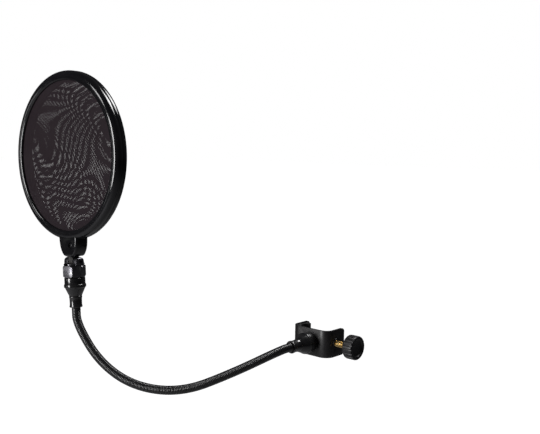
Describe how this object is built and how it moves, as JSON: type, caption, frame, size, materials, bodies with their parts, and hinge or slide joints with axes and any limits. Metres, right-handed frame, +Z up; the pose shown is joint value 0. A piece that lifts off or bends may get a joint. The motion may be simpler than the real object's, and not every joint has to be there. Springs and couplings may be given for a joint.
{
  "type": "microphone pop shield",
  "caption": "Clamp-on microphone pop shield: a round double nylon screen in a plastic hoop, on a swivelling fork and a bendable gooseneck arm with a screw clamp for a stand tube.",
  "frame": {"origin": "on the axis of the gripped stand tube, at mid-height of the clamp bracket", "axes": "+Z up along the stand tube, +X along the clamp screw towards its knob, -Y from the bracket's web towards the gooseneck and the hoop's front"},
  "size_m": [0.292, 0.1943, 0.2917],
  "materials": {
    "bracket_black": "satin black powder coat",
    "pad_rubber": "moulded black rubber",
    "brass": "machined, clear-passivated brass plating",
    "fastener_steel": "blackened steel",
    "turned_black": "turned and black plated, semi-gloss",
    "hose_black": "ribbed, black plated, semi-gloss",
    "knob_plastic": "moulded black plastic",
    "dark_chrome": "bright dark chrome",
    "hoop_plastic": "gloss black moulding",
    "spacer_plastic": "black moulding",
    "screen_nylon": "fine black nylon weave",
    "tongue_black": "black plated"
  },
  "bodies": {
    "clamp": {"clamp_bracket": "bracket_black", "jaw_pad": "pad_rubber", "screw_bush": "fastener_steel", "web_screw": "fastener_steel", "web_washer": "fastener_steel", "base_fitting": "turned_black", "base_sleeve": "turned_black", "gooseneck_1": "hose_black"},
    "foot": {"pressure_foot": "fastener_steel", "foot_pad": "pad_rubber"},
    "screw": {"clamp_screw": "brass", "knob": "knob_plastic"},
    "arm_2": {"gooseneck_2": "hose_black"},
    "arm_3": {"gooseneck_3": "hose_black"},
    "arm_4": {"gooseneck_4": "hose_black"},
    "arm_5": {"gooseneck_5": "hose_black"},
    "collar": {"gooseneck_6": "hose_black", "head_sleeve": "turned_black", "head_fitting": "turned_black", "swivel_body": "turned_black"},
    "nut": {"lock_nut": "dark_chrome"},
    "fork": {"swivel_fork": "dark_chrome", "pivot_pin": "fastener_steel", "stem_clip": "fastener_steel"},
    "hoop": {"front_ring": "hoop_plastic", "rear_ring": "hoop_plastic", "spacer_ring": "spacer_plastic", "front_screen": "screen_nylon", "rear_screen": "screen_nylon", "hoop_tongue": "tongue_black", "lug_screw": "fastener_steel"}
  },
  "joints": [
    {"name": "flex_1_lift", "type": "hinge", "parent": "clamp", "child": "arm_2", "pos_m": [0.00162, -0.0767, -0.00875], "axis": [-0.8948, 0.4464, 0], "range_deg": [-24, 24]},
    {"name": "flex_2_sweep", "type": "hinge", "parent": "arm_2", "child": "arm_3", "pos_m": [-0.0245, -0.11425, -0.02625], "axis": [0.2506, 0.2627, -0.9318], "range_deg": [-24, 24]},
    {"name": "flex_3_lift", "type": "hinge", "parent": "arm_3", "child": "arm_4", "pos_m": [-0.06075, -0.141, -0.03475], "axis": [-0.4515, 0.8923, 0], "range_deg": [-24, 24]},
    {"name": "flex_4_sweep", "type": "hinge", "parent": "arm_4", "child": "arm_5", "pos_m": [-0.10075, -0.157, -0.02575], "axis": [-0.3851, -0.11, -0.9163], "range_deg": [-24, 24]},
    {"name": "flex_5_lift", "type": "hinge", "parent": "arm_5", "child": "collar", "pos_m": [-0.13174, -0.16661, -0.00021], "axis": [-0.3301, 0.944, 0], "range_deg": [-24, 24]},
    {"name": "lock_nut_turn", "type": "hinge", "parent": "collar", "child": "nut", "pos_m": [-0.14697, -0.1708, 0.06646], "axis": [-0.0697, -0.0018, 0.9976], "range_deg": [0, 90]},
    {"name": "fork_swivel", "type": "hinge", "parent": "collar", "child": "fork", "pos_m": [-0.14697, -0.1708, 0.06646], "axis": [-0.0697, -0.0018, 0.9976], "range_deg": [-180, 180]},
    {"name": "hoop_tilt", "type": "hinge", "parent": "fork", "child": "hoop", "pos_m": [-0.1476, -0.17082, 0.07544], "axis": [0.9972, 0.0261, 0.0698], "range_deg": [-40, 40]},
    {"name": "foot_slide", "type": "slide", "parent": "clamp", "child": "foot", "axis": [1, 0, 0], "range_m": [-0.01051, 0.01301]},
    {"name": "screw_turn", "type": "hinge", "parent": "foot", "child": "screw", "pos_m": [0.03, 0, 0], "axis": [1, 0, 0], "range_deg": [-3780, 4680]}
  ],
  "couplings": [
    {"joint": "foot_slide", "follows": "screw_turn", "m_per_rad": 0.00015915}
  ]
}
